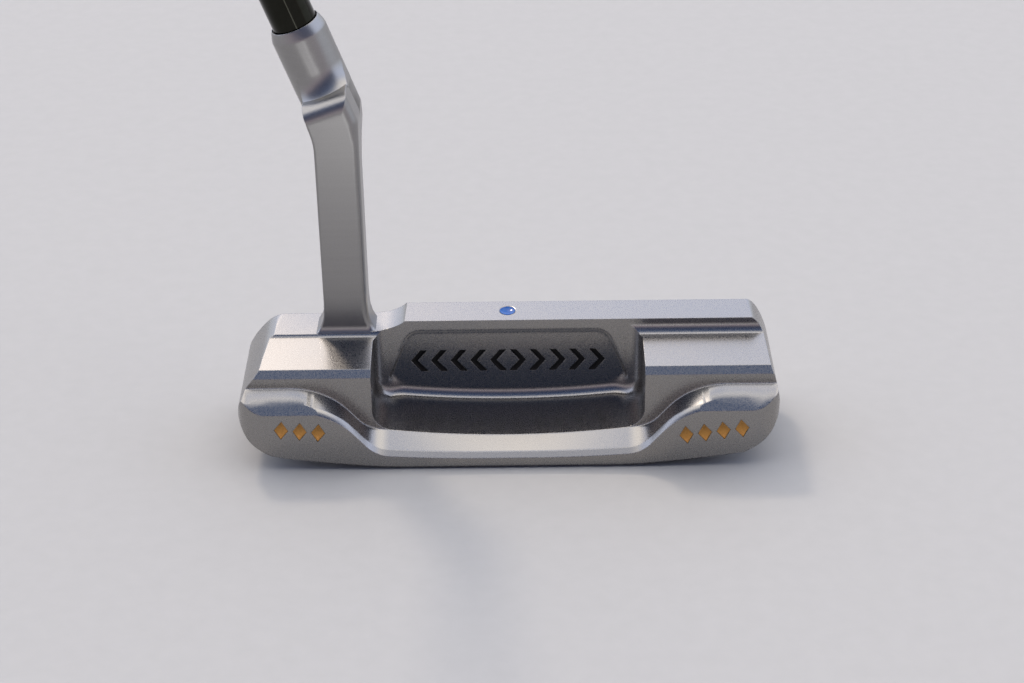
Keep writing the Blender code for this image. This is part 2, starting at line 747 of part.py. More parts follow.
def main():
    clear_scene()
    parts = new_collection("blade_putter")
    cutters = new_collection("cutters")
    steel = finish_material("blasted_stainless", (0.58, 0.57, 0.57), 1.0, 0.38)
    head = build_head(parts, cutters)
    head.data.materials.append(steel)
    neck = build_neck(parts, cutters)
    neck.data.materials.append(finish_material("milled_stainless", (0.56, 0.55, 0.55), 1.0, 0.36))
    shaft = build_shaft(parts)
    shaft.data.materials.append(finish_material("black_chrome", (0.05, 0.05, 0.055), 1.0, 0.08))
    epoxy = build_sleeve(
        "hosel_epoxy", SHAFT_TIP_R + SLIP, SOCKET_R - SLIP, 1.0 - SOCKET_DEPTH, -1.0, parts)
    epoxy.data.materials.append(finish_material("epoxy", (0.16, 0.14, 0.10), 0.0, 0.4))
    grip_top = shaft_top() - SEAM
    tape = build_sleeve(
        "grip_tape", SHAFT_BUTT_R + SLIP, SHAFT_BUTT_R + SLIP + TAPE_WALL,
        grip_top - GRIP_LENGTH + 6.0, grip_top - 2.0, parts)
    tape.data.materials.append(finish_material("tape", (0.75, 0.68, 0.5), 0.0, 0.7))
    grip, turn = build_grip(parts, cutters)
    grip.data.materials.append(finish_material("grip_rubber", (0.025, 0.025, 0.027), 0.0, 0.65))
    cap = build_cap(parts, turn)
    cap.data.materials.append(finish_material("cap_rubber", (0.03, 0.03, 0.032), 0.0, 0.5))
    paints = {
        "black": ((0.006, 0.006, 0.007), 0.0, 0.3),
        "gold": ((0.42, 0.18, 0.045), 0.3, 0.3),
        "blue": ((0.0, 0.05, 0.40), 0.0, 0.2),
    }
    for piece, key in build_marks(parts):
        colour, metallic, roughness = paints[key]
        piece.data.materials.append(finish_material(piece.name + "_enamel", colour, metallic, roughness))
    for piece in (head, neck, shaft, epoxy, tape, grip):
        shade_round(piece)


main()
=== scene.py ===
# %% [markdown]
# # A blade putter
# A putter with a milled head is a short list of pieces: a stainless steel head, a bent neck
# joined to it, a chromed steel shaft glued into the neck's socket, and a rubber grip.
# The CAD model gives each piece its place. Here each piece that shows gets a finer mesh in the
# same place, made the way a machine shop makes it: one block, then one cutter after another.

# %% Load the CAD model
import math

import bmesh
import bpy
from mathutils import Matrix, Vector


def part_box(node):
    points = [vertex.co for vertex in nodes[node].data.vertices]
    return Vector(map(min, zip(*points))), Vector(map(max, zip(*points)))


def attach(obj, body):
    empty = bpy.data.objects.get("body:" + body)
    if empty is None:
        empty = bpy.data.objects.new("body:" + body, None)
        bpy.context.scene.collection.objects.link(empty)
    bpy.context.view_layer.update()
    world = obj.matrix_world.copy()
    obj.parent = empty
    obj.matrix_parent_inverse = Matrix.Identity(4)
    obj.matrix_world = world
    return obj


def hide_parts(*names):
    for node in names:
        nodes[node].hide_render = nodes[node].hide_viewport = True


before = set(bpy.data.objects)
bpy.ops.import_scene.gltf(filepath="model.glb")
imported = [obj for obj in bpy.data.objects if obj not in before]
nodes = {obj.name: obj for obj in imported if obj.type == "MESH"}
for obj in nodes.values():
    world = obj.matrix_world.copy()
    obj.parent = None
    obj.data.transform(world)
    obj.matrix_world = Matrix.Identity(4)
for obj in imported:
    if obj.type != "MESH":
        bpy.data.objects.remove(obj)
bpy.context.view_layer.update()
MM = 0.001
print("CAD nodes:", len(nodes))

# %% [markdown]
# ## The sizes that everything else follows
# The head's outer sizes are read from the CAD head, so that the fine mesh fills the same box.
# The rest are the driving sizes of the cuts, in millimetres: what a machinist would have on
# the drawing.

# %% Driving sizes
head_low, head_high = (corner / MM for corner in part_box("head_body"))
HEEL_X, TOE_X = head_low.x, head_high.x
# the face's plane, carried down to the sole, lies this far in front of the rounded edge
EDGE_SETBACK = 0.06
FLANGE_BACK_Y, FACE_Y = head_low.y, head_high.y + EDGE_SETBACK
TOP_Z = head_high.z
LOFT = math.radians(3.0)
TOP_TILT = math.radians(2.4)
BLADE_BACK_Y = 5.3
SHOULDER_Z = 22.9
SOLE_CAMBER_R = 290.0
SOLE_FLAT = 5.0
STEP_FILLET_R = 2.6
STEP_FILLET_TURN = 58.0
STEP_Z = 21.97
BUMPER_EDGE_Y, BUMPER_EDGE_Z = -7.2, 20.95
BUMPER_CHAMFER = 1.4
BUMPER_BACK_Y = BUMPER_EDGE_Y - BUMPER_CHAMFER
LIE = math.radians(70.0)
RIM_CENTRE = Vector((-42.7, 17.1, 89.5))
AXIS_UP = Vector((-math.cos(LIE), 0.0, math.sin(LIE)))
THUMBS = Vector((math.sin(LIE), 0.0, math.cos(LIE)))
ON_SHAFT = (
    Matrix.Translation(RIM_CENTRE)
    @ Matrix((THUMBS, AXIS_UP.cross(THUMBS), AXIS_UP)).transposed().to_4x4())
print(f"head {TOE_X - HEEL_X:.1f} x {head_high.y - head_low.y:.1f} x {TOP_Z:.1f} mm")

# %% [markdown]
# ## Lines and solids
# Every cutter is an outline swept or lofted into a closed solid. An arc is worked out from its
# radius, and a free curve goes smoothly through a few chosen points. The Boolean solver needs
# only closed, outward-facing shapes.


# %% Arcs and free curves
def arc(cx, cy, radius, start, stop, steps=14):
    """Points of a circular arc, angles in degrees."""
    points = []
    for i in range(steps + 1):
        angle = math.radians(start + (stop - start) * i / steps)
        points.append((cx + radius * math.cos(angle), cy + radius * math.sin(angle)))
    return points


def curved(points, steps=6):
    """A smooth line through given points, which keeps its two ends."""
    line = []
    last = len(points) - 1
    for i in range(last):
        before, here = Vector(points[max(i - 1, 0)]), Vector(points[i])
        there, after = Vector(points[i + 1]), Vector(points[min(i + 2, last)])
        for k in range(steps):
            t = k / steps
            bend = 2 * before - 5 * here + 4 * there - after
            twist = 3 * here - before - 3 * there + after
            line.append(tuple((2 * here + (there - before) * t + bend * t ** 2 + twist * t ** 3) / 2))
    return line + [tuple(points[-1])]


def eased(t):
    """0 to 1 with soft ends."""
    t = min(1.0, max(0.0, t))
    return t * t * (3 - 2 * t)


# %% Closed solids from rings of points
def lofted(name, rings, place=Matrix.Identity(4), around=False):
    """A skin over rings of points in mm; around joins the last ring to the first."""
    bm = bmesh.new()
    loops = [[bm.verts.new(place @ Vector(point) * MM) for point in ring] for ring in rings]
    following = loops[1:] + loops[:1] if around else loops[1:]
    for lower, upper in zip(loops, following):
        for i in range(len(lower)):
            k = (i + 1) % len(lower)
            bm.faces.new((lower[i], lower[k], upper[k], upper[i]))
    if not around:
        bm.faces.new(loops[0][::-1])
        bm.faces.new(loops[-1])
    bmesh.ops.remove_doubles(bm, verts=bm.verts, dist=1e-7)
    bmesh.ops.recalc_face_normals(bm, faces=bm.faces)
    mesh = bpy.data.meshes.new(name)
    bm.to_mesh(mesh)
    bm.free()
    piece = bpy.data.objects.new(name, mesh)
    bpy.context.scene.collection.objects.link(piece)
    return piece


def slab(name, outline, low, high, axis, place=Matrix.Identity(4)):
    """A flat outline given thickness from low to high along one axis."""
    order = {"X": (2, 0, 1), "Y": (0, 2, 1), "Z": (0, 1, 2)}[axis]
    rings = []
    for depth in (low, high):
        flat = [(u, v, depth) for u, v in outline]
        rings.append([tuple(point[i] for i in order) for point in flat])
    return lofted(name, rings, place)


def turned(name, profile, sides=96, place=ON_SHAFT):
    """A closed (radius, height) outline turned about the shaft's axis."""
    rings = []
    for i in range(sides):
        angle = 2 * math.pi * i / sides
        rings.append([(r * math.cos(angle), r * math.sin(angle), h) for r, h in profile])
    return lofted(name, rings, place, around=True)


# %% Cutting and joining
def settle(piece):
    """Turn a piece's modifiers into its mesh."""
    bpy.context.view_layer.update()
    seen = piece.evaluated_get(bpy.context.evaluated_depsgraph_get())
    mesh = bpy.data.meshes.new_from_object(seen)
    piece.modifiers.clear()
    piece.data = mesh


def work(piece, tool, operation="DIFFERENCE"):
    """Cut, join or trim a piece with a tool, which is then thrown away."""
    modifier = piece.modifiers.new(operation, "BOOLEAN")
    modifier.operation = operation
    modifier.solver = "EXACT"
    modifier.object = tool
    settle(piece)
    bpy.data.objects.remove(tool, do_unlink=True)


def soften(piece, angle=28.0):
    """Smooth shading with crisp edges, weighted so that flats stay flat."""
    for polygon in piece.data.polygons:
        polygon.use_smooth = True
    piece.data.set_sharp_from_angle(angle=math.radians(angle))
    weighted = piece.modifiers.new("flat faces win", "WEIGHTED_NORMAL")
    weighted.keep_sharp = True
    weighted.weight = 50


# %% [markdown]
# ## The head's block
# The blank is a bar of stainless steel with the head's outline as seen from the face, trimmed
# to its side profile and to its plan. Three slabs that cross each other say this exactly, and
# the corners between them come out as they do from a mill.


# %% Outlines of the block
def camber(x):
    """Height of the sole, which curves up towards heel and toe."""
    reach = max(0.0, abs(x) - SOLE_FLAT)
    return SOLE_CAMBER_R - math.sqrt(SOLE_CAMBER_R ** 2 - reach ** 2)


def front_outline():
    """The head as seen square to the face: sole, toe, topline, valley, shoulder, heel."""
    sole = [(x, camber(x)) for x in range(-48, 49, 3)]
    toe = curved([
        (50.0, 3.5), (53.6, 5.7), (55.8, 7.6), (57.1, 9.8), (TOE_X, 12.6), (57.2, 15.6),
        (56.4, 18.7), (55.3, 21.5), (54.2, 23.5), (53.2, 24.7), (52.2, 25.4), (51.1, 25.75)])
    valley = curved([
        (-21.8, 25.5), (-22.7, 24.7), (-24.2, 23.9), (-26.0, 23.3), (-28.0, 23.0),
        (-30.0, SHOULDER_Z)])
    heel = curved([
        (-48.4, SHOULDER_Z), (-49.6, 22.75), (-50.8, 22.25), (-52.3, 21.2), (-53.9, 19.5),
        (-55.5, 17.4), (-56.8, 15.0), (HEEL_X, 12.4), (-57.3, 10.3), (-56.3, 8.2), (-54.5, 6.2),
        (-50.0, 3.5)])
    above = TOP_Z + 2.0
    return sole + toe + [(51.0, above), (-21.6, above)] + valley + heel[:-1]


def side_outline():
    """The head as seen from the toe: leading edge, face, topline and sole."""
    face_top_y = FACE_Y - TOP_Z * math.tan(LOFT)
    leading_r, top_r, trailing_r = 1.2, 0.35, 0.7
    trailing_z = 1.0
    sole_back_y = -7.0
    topline_back = BLADE_BACK_Y - 1.0
    fall = (face_top_y - topline_back) * math.tan(TOP_TILT)
    return (
        arc(FACE_Y - EDGE_SETBACK - leading_r, leading_r, leading_r, -90, 0)
        + arc(face_top_y - top_r, TOP_Z - top_r, top_r, 0, 90, 6)
        + [(topline_back, TOP_Z - fall), (FLANGE_BACK_Y, TOP_Z)]
        + arc(FLANGE_BACK_Y + trailing_r, trailing_z, trailing_r, 180, 250, 6)
        + [(sole_back_y, 0.0)])


def plan_outline():
    """The head as seen from above: large round corners at the back, small ones in front."""
    front = FACE_Y + 1.0
    back_r, front_r = 6.5, 1.5
    spare = 0.2
    left, right = HEEL_X - spare, TOE_X + spare
    return (
        arc(left + back_r, FLANGE_BACK_Y + back_r, back_r, 180, 270)
        + arc(right - back_r, FLANGE_BACK_Y + back_r, back_r, 270, 360)
        + arc(right - front_r, front - front_r, front_r, 0, 90, 6)
        + arc(left + front_r, front - front_r, front_r, 90, 180, 6))


# %% The block
# cutters reach this far past the head's two ends
PAST_END = 3.0
head = slab("putter_head", front_outline(), FLANGE_BACK_Y - 1, FACE_Y + 1, "Y")
work(head, slab("side", side_outline(), HEEL_X - PAST_END, TOE_X + PAST_END, "X"), "INTERSECT")
work(head, slab("plan", plan_outline(), -2, TOP_Z + 10, "Z"), "INTERSECT")
print("block:", len(head.data.polygons), "faces")

# %% [markdown]
# ## The two bumpers
# Behind the blade the bar is milled down to two blocks, one at the heel and one at the toe.
# The cutter's corner leaves a fillet against the blade, which meets the block in a crease,
# and each block's back edge is chamfered at 45 degrees. One profile along the head makes the
# step, the fillet and the chamfer together. Heelward of the neck a second pass slopes the
# shoulder back, so that only a small step is left there.


# %% Step behind the blade
fillet_centre_z = STEP_Z + STEP_FILLET_R * math.sin(math.radians(STEP_FILLET_TURN))


def step_outline():
    """The space behind the blade: its fillet, the bumpers' tops and their chamfer."""
    r = STEP_FILLET_R
    behind = 8.0
    above = TOP_Z + 14.0
    return (
        [(BLADE_BACK_Y, above)]
        + arc(BLADE_BACK_Y - r, fillet_centre_z, r, 0, -STEP_FILLET_TURN, 18)
        + [(BUMPER_EDGE_Y, BUMPER_EDGE_Z)]
        + [(BUMPER_BACK_Y - behind, BUMPER_EDGE_Z - BUMPER_CHAMFER - behind)]
        + [(BUMPER_BACK_Y - behind, above)])


work(head, slab("step", step_outline(), HEEL_X - PAST_END, TOE_X + PAST_END, "X"))
SHOULDER_END_X = -40.8
SHOULDER_FRONT_Y, SHOULDER_BACK_Y = 14.0, 3.9
shoulder = [
    (SHOULDER_FRONT_Y, SHOULDER_Z + 0.04), (4.5, SHOULDER_Z - 0.36), (4.2, STEP_Z + 0.05),
    (SHOULDER_BACK_Y, STEP_Z), (SHOULDER_BACK_Y, TOP_Z + 5), (SHOULDER_FRONT_Y, TOP_Z + 5)]
work(head, slab("shoulder", shoulder, HEEL_X - PAST_END, SHOULDER_END_X, "X"))
print(f"bumpers: {STEP_Z:.2f} mm high at the blade, {BUMPER_EDGE_Z:.2f} mm at their back edge")

# %% [markdown]
# ## The flange with its two wings
# The flange is low in the middle and sweeps up to a wing at each end. Its inner line is higher
# than its outer line, and outside of that a chamfer falls to the head's back. Each line is a
# foot arc, a straight ramp and a crown arc, and the space above them is one loft along the head.

# %% Sizes of the flange
RIM_Z = 5.0
RIM_SAG_R = 210.0
CAVITY_HALF = 29.0
WING_FOOT_R = 6.0
WING_CROWN_R = 16.0
WING_RAMP = math.radians(50.0)
RIM_START_X, FLANGE_START_X = 27.4, 25.5
WING_INNER_Z, WING_OUTER_Z = 17.2, 15.6
FLANGE_EDGE_Y, FLANGE_EDGE_Z = -12.9, 3.7
FLANGE_CHAMFER_SLOPE = 0.8
SCOOP_FILLET_R = 0.3
# in the middle the flange starts a little under the cavity's floor, which gives a clean edge
RIM_DROP = 0.1
# on the wings the chamfer swells by this much in its middle
WING_BULGE = 0.14
CHAMFER_STEPS = 6


def wing_line(x, start, low, high):
    """Height of a line that runs low in the middle and climbs to the wings."""
    rise = high - low
    straight = (rise - (WING_FOOT_R + WING_CROWN_R) * (1 - math.cos(WING_RAMP))) / math.sin(WING_RAMP)
    foot_end = WING_FOOT_R * math.sin(WING_RAMP)
    ramp_end = foot_end + straight * math.cos(WING_RAMP)
    crown_end = ramp_end + WING_CROWN_R * math.sin(WING_RAMP)
    u = abs(x) - start
    if u <= 0:
        return low
    if u <= foot_end:
        return low + WING_FOOT_R - math.sqrt(WING_FOOT_R ** 2 - u ** 2)
    if u <= ramp_end:
        return low + WING_FOOT_R * (1 - math.cos(WING_RAMP)) + (u - foot_end) * math.tan(WING_RAMP)
    if u <= crown_end:
        return high - WING_CROWN_R + math.sqrt(WING_CROWN_R ** 2 - (crown_end - u) ** 2)
    return high


def rim_height(x):
    """The cavity's floor, a little lower in the middle than at its ends."""
    return RIM_Z + min(abs(x), CAVITY_HALF) ** 2 / (2 * RIM_SAG_R)


def flange_ring(x):
    """The flange's section at one place along the head, with the space above it."""
    ring = []
    inner = wing_line(x, RIM_START_X, rim_height(x) - RIM_DROP, WING_INNER_Z)
    for out, lift in arc(SCOOP_FILLET_R, SCOOP_FILLET_R, SCOOP_FILLET_R, 180, 260, 4):
        ring.append((x, BUMPER_BACK_Y - out, inner + lift))
    outer = wing_line(x, FLANGE_START_X, FLANGE_EDGE_Z + min(camber(x), 1.0), WING_OUTER_Z)
    deep = FLANGE_EDGE_Y - FLANGE_BACK_Y
    bulge = WING_BULGE * eased((outer - 6.0) / 6.0)
    for i in range(CHAMFER_STEPS + 1):
        t = i / CHAMFER_STEPS
        fall = deep * t * FLANGE_CHAMFER_SLOPE - bulge * 4 * t * (1 - t)
        ring.append((x, FLANGE_EDGE_Y - deep * t, outer - fall))
    beyond = 2.0
    ring.append((x, FLANGE_BACK_Y - beyond, outer - (deep + beyond) * FLANGE_CHAMFER_SLOPE))
    above = TOP_Z + 9.0
    return ring + [(x, FLANGE_BACK_Y - beyond, above), (x, BUMPER_BACK_Y, above)]


# %% Cut the flange
fine_start, fine_pitch = 22.0, 0.7
fine = [fine_start + fine_pitch * i for i in range(42)]
half = list(range(0, 21, 2)) + fine + [52.0, 54.0, 58.0, 62.0]
stations = [-x for x in half[:0:-1]] + half
work(head, lofted("scoop", [flange_ring(x) for x in stations]))
print("flange cut from", len(stations), "sections")

# %% [markdown]
# ## The cavity
# Between the bumpers the cutter goes in to the back of the blade. Its corners are as round as
# the cutter, and a ball end leaves a fillet along the floor. The wall then has a shallow
# tapered panel that leans towards the face as it goes down, so it is deepest at the floor.
# A loft along the head carries all of it: the columns of points lean with the panel's sides,
# which keeps those two edges clean.

# %% Sizes of the cavity
CAVITY_CORNER_R = 3.8
CAVITY_SIDE_R = 3.0
CAVITY_FILLET_R = 2.4
CAVITY_FILLET_TURN = 60.0
PANEL_TOP_Z, PANEL_TOP_HALF = 22.9, 21.6
PANEL_FOOT_Z, PANEL_FOOT_HALF = 7.4, 27.6
PANEL_TOP_DEPTH, PANEL_FOOT_DEPTH = 0.25, 1.5
PANEL_EDGE = 0.9
PANEL_CORNER_R = 2.6
# towards the floor the panel's side edges widen, so that its foot corners fade out
PANEL_FADE, PANEL_FADE_Z = 4.6, 11.6


def panel_half(z):
    """Half of the panel's width at a height."""
    t = min(1.0, max(0.0, (PANEL_TOP_Z - z) / (PANEL_TOP_Z - PANEL_FOOT_Z)))
    return PANEL_TOP_HALF + (PANEL_FOOT_HALF - PANEL_TOP_HALF) * t


def into_panel(x, z):
    """Distance inward from the panel's outline, which is rounded at its upper corners."""
    side, down = panel_half(z) - abs(x), PANEL_TOP_Z - z
    if side < PANEL_CORNER_R and down < PANEL_CORNER_R:
        return PANEL_CORNER_R - math.hypot(PANEL_CORNER_R - side, PANEL_CORNER_R - down)
    return min(side, down)


def wall_y(x, z):
    """How deep the cavity's wall lies at a place on it."""
    into_corner = max(0.0, abs(x) - (CAVITY_HALF - CAVITY_SIDE_R))
    corner = CAVITY_SIDE_R - math.sqrt(max(0.0, CAVITY_SIDE_R ** 2 - into_corner ** 2))
    t = (PANEL_TOP_Z - z) / (PANEL_TOP_Z - PANEL_FOOT_Z)
    depth = PANEL_TOP_DEPTH + (PANEL_FOOT_DEPTH - PANEL_TOP_DEPTH) * min(1.1, max(0.0, t))
    edge = PANEL_EDGE + PANEL_FADE * eased((PANEL_FADE_Z - z) / PANEL_FADE)
    return BLADE_BACK_Y - corner + depth * eased(into_panel(x, z) / edge)


def cavity_floor(x):
    """The floor, turning up into the side walls."""
    into_corner = max(0.0, abs(x) - (CAVITY_HALF - CAVITY_CORNER_R))
    down = math.sqrt(max(0.0, CAVITY_CORNER_R ** 2 - into_corner ** 2))
    return rim_height(x) + CAVITY_CORNER_R - down


def column_x(share, z):
    """Columns stay inside the panel up to a share of 1, and reach the side walls at 2."""
    side = panel_half(z)
    size = abs(share)
    x = side * size if size <= 1 else side + (CAVITY_HALF - side) * (size - 1)
    return math.copysign(x, share)


def cavity_ring(share):
    """One column: over the floor, round the fillet and up the wall."""
    floor_x = column_x(share, PANEL_FOOT_Z)
    low = cavity_floor(floor_x)
    r = CAVITY_FILLET_R
    start = low + r * math.sin(math.radians(CAVITY_FILLET_TURN))
    deep = wall_y(floor_x, start)
    past_bumper = 1.6
    outside = BUMPER_BACK_Y - past_bumper
    above = TOP_Z + 4.0
    ring = [(floor_x, outside, above), (floor_x, outside, low)]
    for y, z in arc(deep - r, start, r, -CAVITY_FILLET_TURN, 0, 12):
        ring.append((floor_x, y, z))
    rows = 44
    for i in range(1, rows + 1):
        z = start + (TOP_Z - start) * i / rows
        x = column_x(share, z)
        ring.append((x, wall_y(x, z), z))
    x = column_x(share, TOP_Z)
    return ring + [(x, wall_y(x, TOP_Z), above)]


# %% Cut the cavity
edge_steps = 16
shares = [i / 10 for i in range(9)] + [0.84, 0.88, 0.91, 0.93, 0.95, 0.965, 0.98, 0.99]
shares += [1 + math.sin(math.pi / 2 * i / edge_steps) for i in range(edge_steps + 1)]
columns = [-s for s in shares[:0:-1]] + shares
work(head, lofted("cavity", [cavity_ring(share) for share in columns]))
print("cavity cut from", len(columns), "columns")

# %% [markdown]
# ## Engraved marks
# The head carries small engraved shapes filled with paint: ten arrowheads in the cavity, and
# rows of lozenges on the flange. They stand where a maker would cut a name, and they say
# nothing. Each pocket and its paint come from one outline. The sight dot on the topline sits
# in a shallow turned bowl.

# %% Outlines of the marks
MARK_DEPTH = 0.5
MARK_CLEARANCE = 0.06
CAVITY_MARKS, CAVITY_MARK_PITCH, CAVITY_MARK_Z = 10, 4.3, 14.6
# each row of lozenges: name, how many, first place, height there, rise per lozenge, lean
LOZENGE_PITCH = 3.9
LOZENGE_ROWS = [("heel_mark", 3, -48.0, 10.2, -0.35, -5), ("toe_mark", 4, 37.6, 8.0, 0.5, 8)]


def chevron(cx, cz, side, width=3.4, height=5.4, stroke=1.3):
    """A pointed bar; side is 1 for a point towards the toe, -1 towards the heel."""
    w, h = width / 2, height / 2
    points = [(-w, h), (-w + stroke, h), (w, 0), (-w + stroke, -h), (-w, -h), (w - stroke, 0)]
    points = [(cx + side * u, cz + v) for u, v in points]
    return points if side < 0 else points[::-1]


def lozenge(cx, cz, lean, width=2.9, height=4.4):
    """A diamond, turned by the lean of its row."""
    c, s = math.cos(lean), math.sin(lean)
    corners = [(0, -height / 2), (width / 2, 0), (0, height / 2), (-width / 2, 0)]
    return [(cx + u * c - v * s, cz + u * s + v * c) for u, v in corners]


def grown(outline, amount):
    """The outline moved outward by an amount, corner by corner."""
    count = len(outline)
    turn = math.copysign(1.0, sum(
        outline[i - 1][0] * outline[i][1] - outline[i][0] * outline[i - 1][1] for i in range(count)))
    result = []
    for i in range(count):
        a, b, c = (Vector(outline[(i + k) % count]) for k in (-1, 0, 1))
        n1 = Vector(((b - a).y, -(b - a).x)).normalized() * turn
        n2 = Vector(((c - b).y, -(c - b).x)).normalized() * turn
        result.append(tuple(b + (n1 + n2) / max(0.3, 1 + n1.dot(n2)) * amount))
    return result


marks = []
middle = (CAVITY_MARKS - 1) / 2
for i in range(CAVITY_MARKS):
    x = (i - middle) * CAVITY_MARK_PITCH
    outline = chevron(x, CAVITY_MARK_Z, 1 if i > middle else -1)
    marks.append((f"cavity_mark_{i + 1:02d}", outline, wall_y(0.0, CAVITY_MARK_Z), "black_enamel"))
for row, count, first_x, first_z, rise, lean in LOZENGE_ROWS:
    for i in range(count):
        outline = lozenge(first_x + i * LOZENGE_PITCH, first_z + i * rise, math.radians(lean))
        marks.append((f"{row}_{i + 1}", outline, FLANGE_BACK_Y, "gold_enamel"))
print(len(marks), "marks")

# %% Cut the pockets and the sight dot
for name, outline, wall, paint in marks:
    work(head, slab("pocket", grown(outline, MARK_CLEARANCE), wall - 1, wall + MARK_DEPTH, "Y"))
DOT_R = 1.7
DOT_DEPTH = 0.6
face_top_y = FACE_Y - TOP_Z * math.tan(LOFT)
dot_y = (face_top_y + BLADE_BACK_Y) / 2
dot_place = (
    Matrix.Translation((0.0, dot_y, TOP_Z - (face_top_y - dot_y) * math.tan(TOP_TILT)))
    @ Matrix.Rotation(TOP_TILT, 4, "X"))
mouth_r = DOT_R + 0.15
bowl = [
    (0, -DOT_DEPTH), (0.9, -0.5), (1.4, -0.3), (DOT_R, -0.08), (mouth_r, 0), (mouth_r, 2), (0, 2)]
work(head, turned("dimple", bowl, 48, dot_place))
soften(head)
print("head:", len(head.data.polygons), "faces")

# %% [markdown]
# ## Paint in the marks
# Thick enamel is wiped into the pocket and dries with a dip in the middle, because it shrinks
# and holds on to the walls. Rings of the mark's outline, each a little smaller and deeper, give
# it that dished face. The sight dot's drop of enamel is turned from a shallow lens profile.


# %% Dished paint
def paint_fill(name, outline, wall):
    """Paint in one pocket: its foot, its upper edge, and two rings of the dish."""
    edge, dip, gap = 0.04, 0.3, 0.03
    rings = [
        (grown(outline, gap), wall + MARK_DEPTH - gap), (grown(outline, gap), wall + edge),
        (grown(outline, -0.12), wall + edge + 0.07), (grown(outline, -0.34), wall + dip)]
    fill = lofted(name, [[(u, y, v) for u, v in ring] for ring, y in rings])
    for polygon in fill.data.polygons:
        polygon.use_smooth = len(polygon.vertices) == 4
    return fill


paints = []
for name, outline, wall, paint in marks:
    paints.append((paint_fill(name + "_paint", outline, wall), name, paint))
drop_r = DOT_R - 0.04
drop = [
    (0, -0.42), (0.6, -0.38), (1.1, -0.27), (1.5, -0.12), (drop_r, -0.02), (drop_r, -0.09),
    (1.3, -0.34), (0.9, -0.48), (0, -0.57)]
dot = turned("sight_dot_paint", drop, 48, dot_place)
soften(dot, 60)
paints.append((dot, "alignment_dot", "blue_enamel"))
print(len(paints), "paint fills")

# %% [markdown]
# ## The neck
# A plumber's neck carries the hosel in front of the blade: an upright post on the shoulder, a
# ledge square to the shaft, and the hosel's barrel above it. The post is a loft of rounded
# rectangles, because its edges are round by different amounts and its foot flares into the
# head. The barrel and its fillet are turned about the shaft's axis and joined on.

# %% Sizes of the neck
HOSEL_R = 5.9
SOCKET_R = 5.0
SOCKET_DEPTH = 19.0
POST_HEEL_X, POST_TOE_X, POST_FRONT_Y = -39.3, -30.0, 13.4
LEDGE_Z = 76.0
LEDGE_AT = (LEDGE_Z - RIM_CENTRE.z) / math.sin(LIE)
LEDGE_ROLL_R = 3.5
LEDGE_FILLET_R = 6.6
LEDGE_FILLET_TURN = 46.0
TOE_TANGENT_X = RIM_CENTRE.x + HOSEL_R / math.sin(LIE)
toe_bend_z = RIM_CENTRE.z - (POST_TOE_X - TOE_TANGENT_X) * math.tan(LIE)
print(f"the post's toe side bends at {toe_bend_z:.1f} mm")


# %% The post's sides
def between(z, line):
    """Where a line, given as (x, z) points going up, is at a height."""
    for (x0, z0), (x1, z1) in zip(line, line[1:]):
        if z <= z1:
            return x0 + (x1 - x0) * max(0.0, z - z0) / (z1 - z0)
    return line[-1][0]


foot_z = SHOULDER_Z - 0.4
LEAN_R, LEAN_START_Z, LEAN_TURN = 16.0, 65.0, 14
heel_line = curved([(-41.3, foot_z), (-40.5, 23.6), (-39.9, 24.9), (-39.5, 26.6), (POST_HEEL_X, 29.5)])
heel_line += arc(POST_HEEL_X - LEAN_R, LEAN_START_Z, LEAN_R, 0, LEAN_TURN) + [(-43.5, 82.0)]
toe_line = curved([(-28.1, foot_z), (-28.9, 23.7), (-29.4, 24.9), (-29.8, 26.6), (POST_TOE_X, 29.5)])
toe_line += [(POST_TOE_X, toe_bend_z - 0.6), (POST_TOE_X - 0.06, toe_bend_z)]
toe_line += [(TOE_TANGENT_X - 0.3, RIM_CENTRE.z)]
front_line = [(12.2, foot_z), (POST_FRONT_Y, 30.0), (POST_FRONT_Y, 90.0)]


def post_ring(z):
    """A section of the post, round at its four corners."""
    heel, toe, front = between(z, heel_line), between(z, toe_line), between(z, front_line)
    under = max(0.0, fillet_centre_z - z)
    back = BLADE_BACK_Y - STEP_FILLET_R + math.sqrt(STEP_FILLET_R ** 2 - under ** 2)
    toe_r = 1.35 + eased((z - 66.0) / 6.0)
    heel_r, front_r = 0.5, 1.0
    corners = (
        arc(toe - toe_r, back + toe_r, toe_r, 270, 360, 8)
        + arc(toe - front_r, front - front_r, front_r, 0, 90, 6)
        + arc(heel + front_r, front - front_r, front_r, 90, 180, 6)
        + arc(heel + heel_r, back + heel_r, heel_r, 180, 270, 6))
    return [(x, y, z) for x, y in corners]


# %% Build the post and roll its ledge
heights = [foot_z + 0.35 * i for i in range(20)] + [30.0 + 2.0 * i for i in range(18)]
heights += [66.0 + 0.5 * i for i in range(34)]
neck = lofted("putter_neck", [post_ring(z) for z in heights])
roll_back = BLADE_BACK_Y + LEDGE_ROLL_R
behind_post = BLADE_BACK_Y - 4.0 - RIM_CENTRE.y
past_post = 20.0
ledge_profile = (
    [(behind_post, LEDGE_AT - LEDGE_ROLL_R)]
    + arc(roll_back - RIM_CENTRE.y, LEDGE_AT - LEDGE_ROLL_R, LEDGE_ROLL_R, 180, 90)
    + [(past_post, LEDGE_AT), (past_post, past_post), (behind_post, past_post)])
work(neck, slab("above_ledge", ledge_profile, -30, 30, "X", ON_SHAFT))

# %% Elbow under the hosel
ELBOW_LOW_Z = 56.0
# the elbow is a hair thinner than the barrel and the post, so that their walls never coincide
ELBOW_INSET = 0.02
ELBOW_SIDE_INSET = 0.1


def cylinder(name, radius, bottom, top, sides=96):
    """A rod about the shaft's axis, its ends measured from the hosel's rim."""
    return turned(name, [(0, bottom), (radius, bottom), (radius, top), (0, top)], sides)


